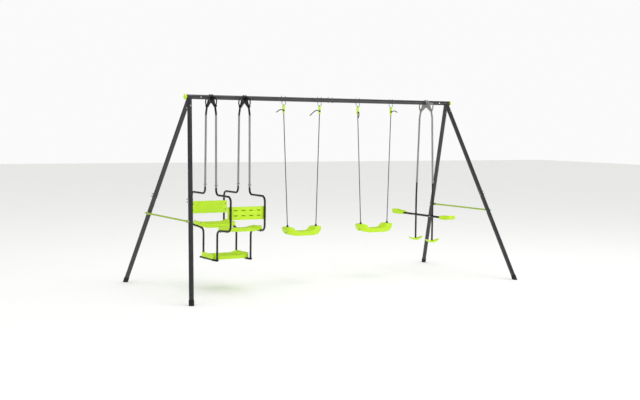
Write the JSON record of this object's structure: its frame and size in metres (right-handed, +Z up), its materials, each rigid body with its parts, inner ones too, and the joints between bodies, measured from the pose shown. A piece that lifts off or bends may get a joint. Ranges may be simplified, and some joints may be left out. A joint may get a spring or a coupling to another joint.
{
  "type": "garden swing set",
  "caption": "Children's garden swing set: splayed tube frame with a face-to-face glider, rope swings and a see-saw glider.",
  "frame": {"origin": "on the ground, in the middle of the four feet", "axes": "+X along the top bar from the face-to-face glider towards the see-saw glider, +Y from the front, where the rope knots are, to the back, +Z up"},
  "size_m": [3.61, 1.6116, 1.8115],
  "materials": {
    "dark_tube": "anthracite powder coat, semi-gloss",
    "dark_connector": "anthracite powder coat over welded sleeves",
    "light_tube": "mid-grey powder coat, semi-gloss",
    "green_tube": "lime green powder coat",
    "black_bracket": "black powder coat, semi-gloss",
    "grey_bracket": "grey powder coat, semi-gloss",
    "green_plastic": "lime green moulded plastic, satin",
    "black_rubber": "matt black",
    "rope": "grey twisted synthetic rope",
    "steel_bolts": "zinc-plated"
  },
  "bodies": {
    "frame": {"top_bar_left": "dark_tube", "top_bar_right": "dark_tube", "bar_end_caps": "green_plastic", "corner_connector_left": "dark_connector", "corner_connector_right": "dark_connector", "leg_left_front_upper": "dark_tube", "leg_left_front_lower": "dark_tube", "leg_left_back_upper": "dark_tube", "leg_left_back_lower": "dark_tube", "leg_right_front_upper": "dark_tube", "leg_right_front_lower": "dark_tube", "leg_right_back_upper": "dark_tube", "leg_right_back_lower": "dark_tube", "foot_caps": "black_rubber", "cross_brace_left": "green_tube", "cross_brace_right": "green_tube", "tube_bolts": "steel_bolts", "brace_bolts": "steel_bolts", "glider_bracket_left": "black_bracket", "glider_bracket_right": "black_bracket", "seesaw_bracket": "grey_bracket", "bracket_bolts": "steel_bolts", "swing_bow_bolts": "steel_bolts"},
    "glider_back_seat": {"glider_back_hanger_heads": "dark_tube", "glider_back_hanger_tubes": "light_tube", "glider_back_frames": "dark_tube", "glider_back_seat": "green_plastic", "glider_back_backrest": "green_plastic", "glider_back_bolts": "steel_bolts"},
    "glider_front_seat": {"glider_front_hanger_heads": "dark_tube", "glider_front_hanger_tubes": "light_tube", "glider_front_frames": "dark_tube", "glider_front_seat": "green_plastic", "glider_front_backrest": "green_plastic", "glider_front_bolts": "steel_bolts"},
    "glider_footrest": {"footrest_bars": "dark_tube", "footrest_pan": "green_plastic", "footrest_bolts": "steel_bolts"},
    "seesaw_back_hanger": {"seesaw_back_head": "light_tube", "seesaw_back_tube": "light_tube", "seesaw_back_rod": "dark_tube", "seesaw_back_peg": "green_plastic", "seesaw_back_bolts": "steel_bolts"},
    "seesaw_front_hanger": {"seesaw_front_head": "light_tube", "seesaw_front_tube": "light_tube", "seesaw_front_rod": "dark_tube", "seesaw_front_peg": "green_plastic", "seesaw_front_bolts": "steel_bolts"},
    "seesaw_rocker": {"seesaw_beam": "dark_tube", "seesaw_saddle_back": "green_plastic", "seesaw_saddle_front": "green_plastic", "seesaw_saddle_bolts": "steel_bolts"},
    "left_swing": {"left_swing_hooks": "green_plastic", "left_swing_rope_left": "rope", "left_swing_rope_right": "rope", "left_swing_seat": "green_plastic"},
    "right_swing": {"right_swing_hooks": "green_plastic", "right_swing_rope_left": "rope", "right_swing_rope_right": "rope", "right_swing_seat": "green_plastic"}
  },
  "joints": [
    {"name": "glider_back_swing", "type": "hinge", "parent": "frame", "child": "glider_back_seat", "pos_m": [-1.073, 0.088, 1.7], "axis": [1, 0, 0], "range_deg": [-20, 20]},
    {"name": "glider_front_swing", "type": "hinge", "parent": "frame", "child": "glider_front_seat", "pos_m": [-1.073, -0.088, 1.7], "axis": [1, 0, 0], "range_deg": [-20, 20]},
    {"name": "glider_footrest_hinge", "type": "hinge", "parent": "glider_back_seat", "child": "glider_footrest", "pos_m": [-1.073, 0.15, 0.286], "axis": [1, 0, 0], "range_deg": [-12, 12]},
    {"name": "seesaw_back_swing", "type": "hinge", "parent": "frame", "child": "seesaw_back_hanger", "pos_m": [1.203, 0.088, 1.7], "axis": [1, 0, 0], "range_deg": [-20, 20]},
    {"name": "seesaw_front_swing", "type": "hinge", "parent": "frame", "child": "seesaw_front_hanger", "pos_m": [1.203, -0.088, 1.7], "axis": [1, 0, 0], "range_deg": [-20, 20]},
    {"name": "seesaw_beam_hinge", "type": "hinge", "parent": "seesaw_back_hanger", "child": "seesaw_rocker", "pos_m": [1.203, 0.144, 0.614], "axis": [1, 0, 0], "range_deg": [-12.5, 12.5]},
    {"name": "left_swing_pivot", "type": "hinge", "parent": "frame", "child": "left_swing", "pos_m": [-0.2805, 0, 1.722], "axis": [1, 0, 0], "range_deg": [-45, 45]},
    {"name": "right_swing_pivot", "type": "hinge", "parent": "frame", "child": "right_swing", "pos_m": [0.562, 0, 1.722], "axis": [1, 0, 0], "range_deg": [-45, 45]}
  ],
  "couplings": [
    {"joint": "glider_front_swing", "follows": "glider_back_swing", "ratio": 1},
    {"joint": "glider_footrest_hinge", "follows": "glider_back_swing", "ratio": -0.591},
    {"joint": "seesaw_front_swing", "follows": "seesaw_back_swing", "ratio": 1},
    {"joint": "seesaw_beam_hinge", "follows": "seesaw_back_swing", "ratio": -0.615}
  ]
}
